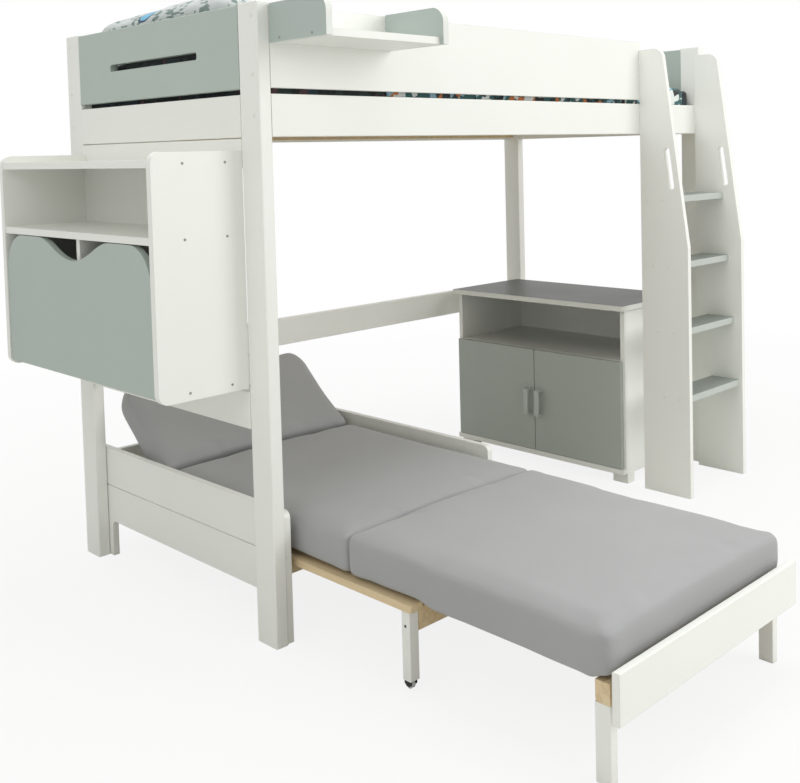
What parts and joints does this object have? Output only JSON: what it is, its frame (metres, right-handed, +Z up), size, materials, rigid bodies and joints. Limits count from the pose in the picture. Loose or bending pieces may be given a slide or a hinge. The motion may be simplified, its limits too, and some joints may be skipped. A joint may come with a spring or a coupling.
{
  "type": "loft bed with pull-out sofa bed",
  "caption": "Loft bed with ladder, guard boards, bedside shelf, hung hutch with drop-down flap, low cabinet and a slatted sofa bed that pulls out below",
  "frame": {"origin": "middle of the overall footprint, on the floor", "axes": "+X runs along the bed from the head end with the hutch to the foot end with the cabinet, +Y from the open front with the ladder to the back, +Z up"},
  "size_m": [2.2242, 1.911, 1.608],
  "materials": {
    "white_paint": "satin paint",
    "grey_paint": "satin paint",
    "door_paint": "satin paint",
    "tread_paint": "satin paint",
    "pine": "planed",
    "cushion_cloth": "plain weave",
    "bed_linen": "printed cotton",
    "pillow_linen": "printed cotton",
    "mattress_cover": "knitted",
    "steel": "satin",
    "castor_black": "matt",
    "castor_tread": "satin",
    "cap_white": "satin"
  },
  "bodies": {
    "bed": {"post_front_left": "white_paint", "post_front_right": "white_paint", "post_rear_left": "white_paint", "post_rear_right": "white_paint", "end_rails": "white_paint", "end_mid_rails": "white_paint", "hutch_hanging_rails": "white_paint", "front_side_rail": "white_paint", "rear_side_rail": "white_paint", "rear_mid_rail": "white_paint", "front_guard": "white_paint", "rear_guard": "white_paint", "ladder_stile_left": "white_paint", "ladder_stile_right": "white_paint", "bedside_shelf_board": "white_paint", "hutch_sides": "white_paint", "hutch_top": "white_paint", "hutch_shelf": "white_paint", "hutch_bottom": "white_paint", "hutch_back": "white_paint", "hutch_divider": "white_paint", "cabinet_sides": "white_paint", "cabinet_bottom": "white_paint", "cabinet_shelf": "white_paint", "cabinet_back": "white_paint", "cabinet_feet": "white_paint", "sofa_sides": "white_paint", "sofa_back_board": "white_paint", "head_panel": "grey_paint", "foot_panel": "grey_paint", "shelf_brackets": "grey_paint", "cabinet_top": "grey_paint", "ladder_treads": "tread_paint", "slatted_base": "pine", "sofa_fixed_slats": "pine", "sofa_bearers": "pine", "duvet": "bed_linen", "pillow": "pillow_linen", "mattress": "mattress_cover", "hinge_arms": "steel", "flap_pivot_pins": "steel", "screw_caps": "cap_white"},
    "middle_frame": {"middle_frame_slats": "pine", "middle_legs": "white_paint", "castor_housings": "castor_black"},
    "castor_left": {"castor_wheel_left": "castor_tread"},
    "castor_right": {"castor_wheel_right": "castor_tread"},
    "end_frame": {"sofa_end_board": "white_paint", "sofa_end_legs": "white_paint", "sofa_end_bearer": "pine", "end_frame_slats": "pine"},
    "seat": {"seat_cushion": "cushion_cloth"},
    "front": {"front_cushion": "cushion_cloth"},
    "back": {"back_cushion": "cushion_cloth"},
    "flap": {"hutch_flap": "grey_paint"},
    "door_near": {"cabinet_door_near": "door_paint", "door_near_hardware": "steel"},
    "door_far": {"cabinet_door_far": "door_paint", "door_far_hardware": "steel"}
  },
  "joints": [
    {"name": "end_frame_slide", "type": "slide", "parent": "bed", "child": "end_frame", "axis": [0, 1, 0], "range_m": [0, 0.904]},
    {"name": "middle_frame_slide", "type": "slide", "parent": "bed", "child": "middle_frame", "axis": [0, 1, 0], "range_m": [0, 0.432]},
    {"name": "seat_cushion_slide", "type": "slide", "parent": "bed", "child": "seat", "axis": [0, 1, 0], "range_m": [0, 0.154]},
    {"name": "front_cushion_fold", "type": "hinge", "parent": "seat", "child": "front", "pos_m": [-0.4595, -0.1835, 0.3181], "axis": [-1, 0, 0], "range_deg": [0, 180]},
    {"name": "back_cushion_tilt", "type": "hinge", "parent": "seat", "child": "back", "pos_m": [-0.4595, 0.5845, 0.3181], "axis": [1, 0, 0], "range_deg": [0, 50]},
    {"name": "castor_left_spin", "type": "hinge", "parent": "middle_frame", "child": "castor_left", "pos_m": [-0.7765, -0.3735, 0.0095], "axis": [1, 0, 0], "continuous": true},
    {"name": "castor_right_spin", "type": "hinge", "parent": "middle_frame", "child": "castor_right", "pos_m": [-0.1425, -0.3735, 0.0095], "axis": [1, 0, 0], "continuous": true},
    {"name": "hutch_flap_drop", "type": "hinge", "parent": "bed", "child": "flap", "pos_m": [-1.1005, 0.4755, 0.642], "axis": [0, -1, 0], "range_deg": [0, 90]},
    {"name": "cabinet_door_near_swing", "type": "hinge", "parent": "bed", "child": "door_near", "pos_m": [0.685, 0.0775, 0.2435], "axis": [0, 0, 1], "range_deg": [0, 90]},
    {"name": "cabinet_door_far_swing", "type": "hinge", "parent": "bed", "child": "door_far", "pos_m": [0.685, 0.8595, 0.2435], "axis": [0, 0, -1], "range_deg": [0, 90]}
  ],
  "couplings": [
    {"joint": "middle_frame_slide", "follows": "end_frame_slide", "ratio": 0.47788},
    {"joint": "seat_cushion_slide", "follows": "end_frame_slide", "ratio": 0.17035},
    {"joint": "front_cushion_fold", "follows": "end_frame_slide", "rad_per_m": 3.4752},
    {"joint": "back_cushion_tilt", "follows": "end_frame_slide", "rad_per_m": 0.96534}
  ]
}
